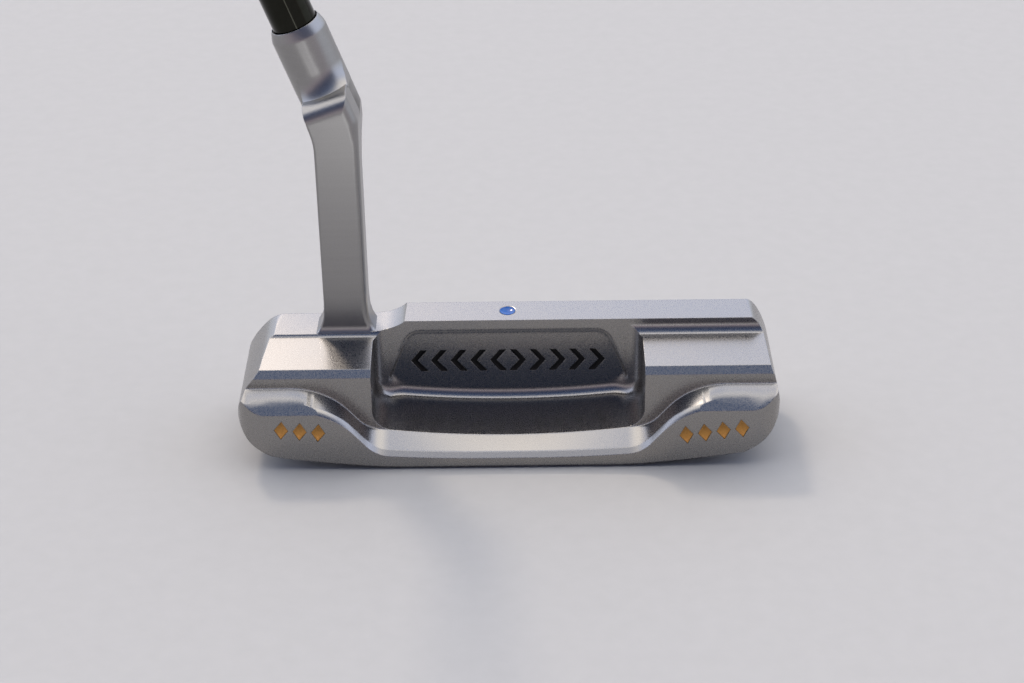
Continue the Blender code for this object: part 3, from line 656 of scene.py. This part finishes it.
elbow = cylinder("elbow", HOSEL_R - ELBOW_INSET, -40.0, LEDGE_AT - 0.5)
heel_side, toe_side = POST_HEEL_X + ELBOW_SIDE_INSET, POST_TOE_X - ELBOW_SIDE_INSET
side_limits = [
    (heel_side, ELBOW_LOW_Z - 2), (toe_side, ELBOW_LOW_Z - 2), (toe_side, 80), (-50, 80),
    (heel_side, 64)]
work(elbow, slab("sides", side_limits, 0, 30, "Y"), "INTERSECT")
sweep_front = RIM_CENTRE.y + HOSEL_R + 1.0
sweep = arc(sweep_front, ELBOW_LOW_Z, sweep_front - POST_FRONT_Y + 0.4, 180, 92, 24)
inside = BLADE_BACK_Y + 3.0
sweep = [(inside, ELBOW_LOW_Z)] + sweep + [(sweep_front, 90), (inside, 90)]
work(elbow, slab("sweep", sweep, -60, -20, "X"), "INTERSECT")
work(neck, elbow, "UNION")

# %% Hosel barrel, its fillet on the ledge and its socket
TAPER, TAPER_LENGTH = 0.7, 2.4
lip = [(SOCKET_R - 0.6, 0.0), (HOSEL_R - TAPER - 0.1, 0.0), (HOSEL_R - TAPER, -0.12)]
for inward, back_up in ((0.15, 0.7), (0.03, 0.2), (0.0, 0.0)):
    lip.append((HOSEL_R - inward, back_up - TAPER_LENGTH))
barrel_foot = LEDGE_AT - 1.0
barrel = [(0, 0)] + lip + [(HOSEL_R, barrel_foot), (0, barrel_foot)]
r = LEDGE_FILLET_R
# the fillet's foot lies this far under the ledge, where it meets the rolled edge
SKIRT_SINK = 0.25
skirt_top = LEDGE_AT - SKIRT_SINK + r * math.sin(math.radians(LEDGE_FILLET_TURN))
skirt = arc(HOSEL_R + r, skirt_top, r, 180, 180 + LEDGE_FILLET_TURN, 14)
skirt_foot, skirt_core = LEDGE_AT - 0.8, HOSEL_R - 1.0
skirt = (
    [(skirt_core, skirt_top)] + skirt
    + [(skirt[-1][0], skirt_foot), (skirt_core, skirt_foot)])
fillet = turned("ledge_fillet", skirt)
# the fillet ends at the post's heel side and at the barrel's toe side
leaning = Vector((-math.cos(LIE), math.sin(LIE))) * 30
tip_z, past_toe = 74.0, 6.0
tip = Vector((between(tip_z, heel_line) + 0.02, tip_z))
tangent = Vector((TOE_TANGENT_X + past_toe, RIM_CENTRE.z - past_toe * math.tan(LIE)))
bounds = [tip, tip - leaning * 0.3, tangent - leaning * 0.3, tangent + leaning, tip + leaning]
work(fillet, slab("fillet_bounds", [tuple(p) for p in bounds], 0, RIM_CENTRE.y, "Y"), "INTERSECT")
work(neck, fillet, "UNION")
work(neck, turned("barrel", barrel), "UNION")
work(neck, cylinder("socket", SOCKET_R, -SOCKET_DEPTH, 5.0))
soften(neck, 32)
print("neck:", len(neck.data.polygons), "faces")

# %% [markdown]
# ## Shaft and glue
# The shaft is a steel tube that narrows towards the head in steps, each a short cone. It is
# turned from one profile, down the outside and back up the inside. The glue fills the socket
# around it and shows as a thin dark ring with a hollow face.

# %% Shaft
SHAFT_TIP_R, SHAFT_BUTT_R, SHAFT_WALL = 4.7, 7.35, 0.45
SHAFT_STEPS, FIRST_STEP, STEP_PITCH, STEP_LENGTH = 8, 300.0, 32.0, 1.5
CAP_LENGTH, SEAM = 3.0, 0.3
PUTTER_LENGTH = 889.0
butt = PUTTER_LENGTH - RIM_CENTRE.z / math.sin(LIE) - CAP_LENGTH
outer = [(SHAFT_TIP_R - 0.2, 1.0 - SOCKET_DEPTH), (SHAFT_TIP_R, 1.4 - SOCKET_DEPTH)]
radius = SHAFT_TIP_R
growth = (SHAFT_BUTT_R - SHAFT_TIP_R) / SHAFT_STEPS
for i in range(SHAFT_STEPS):
    height = FIRST_STEP + i * STEP_PITCH
    outer += [(radius, height), (radius + growth, height + STEP_LENGTH)]
    radius += growth
outer.append((radius, butt - SEAM))
inner = [(r - SHAFT_WALL, h) for r, h in outer]
shaft = turned("steel_shaft", outer[::-1] + inner, 128)
soften(shaft, 12)
print(f"shaft: {butt:.0f} mm from the hosel's rim to the butt")

# %% Glue
GLUE_GAP = 0.02
glue_in, glue_out, glue_foot = SHAFT_TIP_R + GLUE_GAP, SOCKET_R - GLUE_GAP, 1.0 - SOCKET_DEPTH
glue = [
    (glue_in, glue_foot), (glue_out, glue_foot), (glue_out, -0.35), (4.9, -0.5), (4.82, -0.52),
    (glue_in, -0.3)]
epoxy = turned("glue_ring", glue, 96)
soften(epoxy, 40)
print(f"glue: {-glue_foot:.0f} mm deep")

# %% [markdown]
# ## Grip and cap
# The grip is moulded rubber in a pistol shape, with one side flat for the thumbs. Its sections
# swell towards the top. The loft goes through a few sections with a smooth curve, and a rolled
# lip closes each end.


# %% Grip
def grip_section(width, depth, flat, z, sides=96):
    """A round section with a flat side, its two edges rounded a little."""
    points = []
    edge = 0.6
    for i in range(sides):
        angle = 2 * math.pi * (i + 0.5) / sides
        x, y = depth / 2 * math.cos(angle), width / 2 * math.sin(angle)
        over = x - flat
        if over > -edge:
            x = flat - edge * math.exp(-max(0.0, over + edge) / edge)
        points.append((x, y, z))
    return points


GRIP_LENGTH = 267.0
# each section: height above the grip's foot, width, depth, and how far out the flat lies
grip_top = butt - SEAM
grip_foot = grip_top - GRIP_LENGTH
sections = [
    (0, 18.2, 18.2, 9.0), (1.5, 19.0, 19.0, 9.3), (4, 19.2, 19.2, 9.3), (60, 21.0, 20.4, 8.8),
    (120, 22.6, 22.0, 8.7), (170, 23.8, 23.6, 8.9), (210, 25.2, 26.4, 9.6), (238, 26.2, 29.6, 10.4),
    (256, 26.6, 31.0, 10.8), (264, 26.2, 30.4, 10.6), (GRIP_LENGTH, 24.8, 28.8, 10.0)]
rings = []
for height, width, depth, flat in curved(sections, 5):
    rings.append(grip_section(width, depth, flat, grip_foot + height))
grip = lofted("rubber_grip", rings, ON_SHAFT)
work(grip, cylinder("bore", SHAFT_BUTT_R + 0.5, grip_foot - 5, grip_top + 5))
soften(grip, 40)

# %% Cap with a vent hole
CAP_WIDTH, CAP_DEPTH, CAP_FLAT = 24.0, 28.0, 9.7
cap_rings = []
for inset, z in ((0.3, 0.0), (0.0, 0.4), (0.0, 2.0), (0.35, 2.6), (1.0, 2.9), (2.0, CAP_LENGTH)):
    across, deep = CAP_WIDTH - 2 * inset, CAP_DEPTH - 2 * inset
    cap_rings.append(grip_section(across, deep, CAP_FLAT - inset, butt + z))
cap = lofted("grip_cap", cap_rings, ON_SHAFT)
work(cap, cylinder("vent", 1.5, butt + 1.0, butt + 9.0, 48))
soften(cap, 40)
print("grip and cap built")

# %% [markdown]
# ## Materials
# One function turns the hex colours to linear light, and one adds a node with its settings and
# links. Every pattern is sized from a real length: a noise texture's scale is one over the size
# of its blobs in metres.


# %% Helpers for materials
def linear(code):
    """A hex colour as linear RGBA."""
    parts = [int(code[i:i + 2], 16) / 255 for i in (0, 2, 4)]
    values = [p / 12.92 if p <= 0.04045 else ((p + 0.055) / 1.055) ** 2.4 for p in parts]
    return (*values, 1.0)


def add(tree, kind, inputs=None, **settings):
    """A node with its settings; an input is a value or another node's output."""
    made = tree.nodes.new(kind)
    for key, value in settings.items():
        setattr(made, key, value)
    for key, value in (inputs or {}).items():
        if isinstance(value, bpy.types.NodeSocket):
            tree.links.new(value, made.inputs[key])
        else:
            made.inputs[key].default_value = value
    return made


def per_metre(size_mm):
    """A noise scale for blobs of a real size."""
    return 1.0 / (size_mm * MM)


def new_finish(name, **plain):
    """A material with its Principled shader, whose uniform values sit on their sockets."""
    material = bpy.data.materials.new(name)
    material.use_nodes = True
    shader = material.node_tree.nodes["Principled BSDF"]
    for key, value in plain.items():
        shader.inputs[key.replace("_", " ")].default_value = value
    return material, material.node_tree, shader


# %% [markdown]
# ### Bead-blasted stainless steel
# The head is 303 stainless, milled and then blasted with glass beads. The beads leave pits of
# about 0.1 mm, which the eye takes as a silky grain that spreads reflections and sparkles a
# little. The pits are drawn at 0.25 mm so that they show, as noise that moves the roughness,
# the tone and the surface. Sharp corners lose their last tenths of a millimetre to the beads,
# so the shader rounds them too.

# %% Blasted stainless
blasted, tree, shader = new_finish("bead_blasted_stainless", Metallic=1.0)
where = add(tree, "ShaderNodeTexCoord").outputs["Object"]
pits = add(tree, "ShaderNodeTexNoise", {"Vector": where, "Scale": per_metre(0.25), "Detail": 2.0})
patches = add(tree, "ShaderNodeTexNoise", {"Vector": where, "Scale": per_metre(9.0), "Detail": 3.0})
tone = add(tree, "ShaderNodeMix", {
    "Factor": pits.outputs["Fac"], 6: linear("878685"), 7: linear("999898")}, data_type="RGBA")
tint = add(tree, "ShaderNodeMix", {
    "Factor": patches.outputs["Fac"], 6: tone.outputs[2], 7: linear("94918e")}, data_type="RGBA")
tree.links.new(tint.outputs[2], shader.inputs["Base Color"])
gloss = add(tree, "ShaderNodeMapRange", {
    "Value": pits.outputs["Fac"], "From Min": 0.3, "From Max": 0.7, "To Min": 0.22, "To Max": 0.34})
tree.links.new(gloss.outputs["Result"], shader.inputs["Roughness"])
edges = add(tree, "ShaderNodeBevel", {"Radius": 0.25 * MM}, samples=4)
bump = add(tree, "ShaderNodeBump", {
    "Height": pits.outputs["Fac"], "Strength": 0.16, "Distance": 0.02 * MM,
    "Normal": edges.outputs["Normal"]})
tree.links.new(bump.outputs["Normal"], shader.inputs["Normal"])

# %% [markdown]
# ### Fine-milled stainless steel
# The neck is the same steel with a lighter blast over its milling. Under the grain there are
# faint lines where one pass of the cutter met the next, about a millimetre apart, so noise
# stretched across the post is added to the pits.

# %% Milled stainless
milled, tree, shader = new_finish("fine_milled_stainless", Metallic=1.0)
where = add(tree, "ShaderNodeTexCoord").outputs["Object"]
pits = add(tree, "ShaderNodeTexNoise", {"Vector": where, "Scale": per_metre(0.22), "Detail": 2.0})
across = add(tree, "ShaderNodeMapping", {"Vector": where, "Scale": (0.02, 0.02, 1.0)})
passes = add(tree, "ShaderNodeTexNoise", {
    "Vector": across.outputs["Vector"], "Scale": per_metre(1.0), "Detail": 1.0})
relief = add(tree, "ShaderNodeMath", {0: passes.outputs["Fac"], 1: 0.35, 2: pits.outputs["Fac"]},
             operation="MULTIPLY_ADD")
tone = add(tree, "ShaderNodeMix", {
    "Factor": relief.outputs["Value"], 6: linear("878685"), 7: linear("979695")}, data_type="RGBA")
tree.links.new(tone.outputs[2], shader.inputs["Base Color"])
gloss = add(tree, "ShaderNodeMapRange", {
    "Value": pits.outputs["Fac"], "From Min": 0.3, "From Max": 0.7, "To Min": 0.28, "To Max": 0.38})
tree.links.new(gloss.outputs["Result"], shader.inputs["Roughness"])
edges = add(tree, "ShaderNodeBevel", {"Radius": 0.25 * MM}, samples=4)
bump = add(tree, "ShaderNodeBump", {
    "Height": relief.outputs["Value"], "Strength": 0.05, "Distance": 0.02 * MM,
    "Normal": edges.outputs["Normal"]})
tree.links.new(bump.outputs["Normal"], shader.inputs["Normal"])

# %% [markdown]
# ### Black chrome plate
# The shaft is drawn steel, polished and plated with black chromium. It is close to a mirror,
# but a dark one, so the eye sees thin bright streaks on black. Very fine polishing haze runs
# around the tube.

# %% Black chrome
chrome, tree, shader = new_finish("black_chrome_plate", Metallic=1.0)
where = add(tree, "ShaderNodeTexCoord").outputs["Object"]
haze = add(tree, "ShaderNodeTexNoise", {"Vector": where, "Scale": per_metre(1.5), "Detail": 6.0})
tone = add(tree, "ShaderNodeMix", {
    "Factor": haze.outputs["Fac"], 6: linear("22221d"), 7: linear("2b2b27")}, data_type="RGBA")
tree.links.new(tone.outputs[2], shader.inputs["Base Color"])
gloss = add(tree, "ShaderNodeMapRange", {
    "Value": haze.outputs["Fac"], "From Min": 0.3, "From Max": 0.7, "To Min": 0.04, "To Max": 0.09})
tree.links.new(gloss.outputs["Result"], shader.inputs["Roughness"])

# %% [markdown]
# ### Paints, glue, tape and rubber
# Enamel is glossy with a slight orange peel. The gold is a lacquer full of fine flakes, so it
# has some metal in it. Glue is a dull amber, tape is creped paper, and the two rubbers are
# matt with a fine moulded texture.


# %% Finishes with one noise
def noise_finish(name, dark, light, size_mm, height_mm, strength, **plain):
    """A finish whose tone and surface follow one noise of a real size."""
    material, tree, shader = new_finish(name, **plain)
    where = add(tree, "ShaderNodeTexCoord").outputs["Object"]
    grain = add(tree, "ShaderNodeTexNoise", {"Vector": where, "Scale": per_metre(size_mm), "Detail": 3.0})
    tone = add(tree, "ShaderNodeMix", {
        "Factor": grain.outputs["Fac"], 6: linear(dark), 7: linear(light)}, data_type="RGBA")
    tree.links.new(tone.outputs[2], shader.inputs["Base Color"])
    bump = add(tree, "ShaderNodeBump", {
        "Height": grain.outputs["Fac"], "Strength": strength, "Distance": height_mm * MM})
    tree.links.new(bump.outputs["Normal"], shader.inputs["Normal"])
    return material


finishes = {
    "blasted_stainless": blasted,
    "milled_stainless": milled,
    "black_chrome": chrome,
    "black_enamel": noise_finish(
        "black_enamel", "020203", "070708", 0.5, 0.02, 0.3, Roughness=0.45, Specular_IOR_Level=0.2),
    "gold_enamel": noise_finish(
        "gold_flake_lacquer", "a07038", "cc9a58", 0.2, 0.03, 0.6, Roughness=0.24, Metallic=0.9),
    "blue_enamel": noise_finish(
        "blue_enamel", "003c86", "005ca8", 0.6, 0.02, 0.2, Roughness=0.16, Specular_IOR_Level=0.35),
    "epoxy": noise_finish("cured_epoxy", "2c261b", "4a3f2c", 0.6, 0.05, 0.4, Roughness=0.4),
    "tape": noise_finish("creped_paper_tape", "c9b98c", "e2d5ad", 0.8, 0.1, 0.5, Roughness=0.8),
    "grip_rubber": noise_finish("moulded_rubber", "1b1b1d", "2a2a2c", 0.9, 0.12, 0.6, Roughness=0.62),
    "cap_rubber": noise_finish("pressed_rubber", "202022", "2c2c2e", 0.5, 0.06, 0.4, Roughness=0.5),
}
print(len(finishes), "finishes")

# %% [markdown]
# ## Give every piece its finish and its place in the model
# A fine piece stands for its CAD node and moves with the model's one body. The tape keeps its
# CAD shape, which is already right, and gets only a better material.

# %% Finish and place
made = [
    (head, "head_body", "blasted_stainless"), (neck, "plumber_neck", "milled_stainless"),
    (shaft, "shaft", "black_chrome"), (epoxy, "hosel_epoxy", "epoxy"),
    (grip, "grip", "grip_rubber"), (cap, "grip_end_cap", "cap_rubber")]
for piece, node_name, finish in made + paints:
    piece.data.materials.clear()
    piece.data.materials.append(finishes[finish])
    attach(piece, "root")
    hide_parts(node_name)
for i in range(len(nodes["grip_tape"].material_slots)):
    nodes["grip_tape"].material_slots[i].material = finishes["tape"]
print(len(made) + len(paints), "pieces placed")

# %% [markdown]
# ## Floor, light and camera
# Polished and satin metal shows the room more than itself, so the light is drawn as a soft
# room: a pale floor, a broad bright sky ahead of the face, a darker blue one behind the
# camera, and a lilac band between that sky and the floor. A warm lamp stands high on the
# heel side in front of the putter.

# %% Floor
FLOOR_HALF = 9000.0
corners = [(-FLOOR_HALF, -FLOOR_HALF), (FLOOR_HALF, -FLOOR_HALF), (FLOOR_HALF, FLOOR_HALF),
           (-FLOOR_HALF, FLOOR_HALF)]
floor = slab("floor", corners, -0.3, -0.05, "Z")
floor.data.materials.append(noise_finish("matt_card", "a3a2a0", "a9a8a6", 4.0, 0.05, 0.1, Roughness=0.9))

# %% Sky
world = bpy.data.worlds.new("studio")
bpy.context.scene.world = world
world.use_nodes = True
tree = world.node_tree
background = tree.nodes["Background"]
towards = add(tree, "ShaderNodeTexCoord").outputs["Generated"]
parts = add(tree, "ShaderNodeSeparateXYZ", {0: towards})


def sky_ramp(stops):
    """Colours by sine of the height over the horizon."""
    ramp = add(tree, "ShaderNodeValToRGB", {0: parts.outputs["Z"]})
    ramp.color_ramp.interpolation = "EASE"
    while len(ramp.color_ramp.elements) < len(stops):
        ramp.color_ramp.elements.new(0.5)
    for element, (place, colour) in zip(ramp.color_ramp.elements, stops):
        element.position = place
        element.color = (*colour, 1.0)
    return ramp.outputs["Color"]


ahead = sky_ramp([
    (0.0, (0.45, 0.47, 0.50)), (0.45, (0.60, 0.66, 0.84)), (0.68, (0.53, 0.58, 0.73)),
    (0.84, (0.95, 0.91, 0.87)), (0.96, (1.0, 0.96, 0.92)), (1.0, (0.40, 0.45, 0.60))])
behind = sky_ramp([
    (0.0, (0.30, 0.26, 0.27)), (0.12, (0.34, 0.28, 0.32)), (0.28, (0.07, 0.075, 0.11)),
    (0.6, (0.03, 0.045, 0.10)), (0.9, (0.06, 0.10, 0.20)), (1.0, (0.40, 0.45, 0.60))])
facing = add(tree, "ShaderNodeMapRange", {
    "Value": parts.outputs["Y"], "From Min": -0.45, "From Max": -0.22}, interpolation_type="SMOOTHSTEP")
sky = add(tree, "ShaderNodeMix", {
    "Factor": facing.outputs["Result"], 6: behind, 7: ahead}, data_type="RGBA")
LAMP_WAY = Vector((-0.295, 0.608, 0.736)).normalized()
# the lamp's warm glow in the sky fades out between these cosines from its centre
GLOW_EDGE, GLOW_CORE = 0.93, 0.97
aim = add(tree, "ShaderNodeVectorMath", {0: towards, 1: LAMP_WAY}, operation="DOT_PRODUCT")
glow = add(tree, "ShaderNodeMapRange", {
    "Value": aim.outputs["Value"], "From Min": GLOW_EDGE, "From Max": GLOW_CORE},
           interpolation_type="SMOOTHSTEP")
warm = add(tree, "ShaderNodeMix", {
    "Factor": glow.outputs["Result"], 6: sky.outputs[2], 7: (1.2, 1.1, 1.04, 1.0)}, data_type="RGBA")
tree.links.new(warm.outputs[2], background.inputs["Color"])
background.inputs["Strength"].default_value = 2.4

# %% Lamps
lamp = bpy.data.objects.new("warm_lamp", bpy.data.lights.new("warm_lamp", "SUN"))
lamp.data.energy = 1.0
lamp.data.angle = math.radians(8.0)
lamp.data.color = linear("fff0de")[:3]
lamp.rotation_euler = LAMP_WAY.to_track_quat("Z", "Y").to_euler()


def floor_strip(name, start, stop, width, power):
    """A long soft light lying on the floor and shining up, for a streak on round metal."""
    strip = bpy.data.objects.new(name, bpy.data.lights.new(name, "AREA"))
    start, stop = Vector((*start, 2.0)) * MM, Vector((*stop, 2.0)) * MM
    along = (stop - start).normalized()
    down = Vector((0, 0, -1))
    strip.data.shape = "RECTANGLE"
    strip.data.size, strip.data.size_y = width * MM, (stop - start).length
    strip.data.energy = power
    strip.matrix_world = (
        Matrix.Translation((start + stop) / 2)
        @ Matrix((along.cross(down), along, down)).transposed().to_4x4())
    strip.visible_camera = False
    return strip


hosel_strip = floor_strip("hosel_strip", (-26, -136), (-24, -170), 76, 0.026)
shaft_strip = floor_strip("shaft_strip", (36, -175), (92, -460), 36, 0.08)
for light in (lamp, hosel_strip, shaft_strip):
    bpy.context.scene.collection.objects.link(light)

# %% Camera
LENS_MM, SENSOR_MM = 75.43, 36.0
azimuth, elevation, roll = math.radians(0.209), math.radians(31.234), math.radians(0.768)
target, distance = Vector((0.000929, 0.0, 0.022998)), 0.457886
back = Vector((
    math.sin(azimuth) * math.cos(elevation), -math.cos(azimuth) * math.cos(elevation),
    math.sin(elevation)))
right = (-back).cross(Vector((0, 0, 1))).normalized()
upward = right.cross(-back)
c, s = math.cos(roll), math.sin(roll)
turn = Matrix((c * right - s * upward, s * right + c * upward, back)).transposed().to_4x4()
camera = bpy.data.objects.new("camera", bpy.data.cameras.new("camera"))
camera.data.lens = LENS_MM
camera.data.sensor_width = SENSOR_MM
camera.data.clip_start = 0.01
camera.matrix_world = Matrix.Translation(target + back * distance) @ turn
bpy.context.scene.collection.objects.link(camera)
bpy.context.scene.camera = camera
bpy.context.scene.view_settings.view_transform = "Standard"
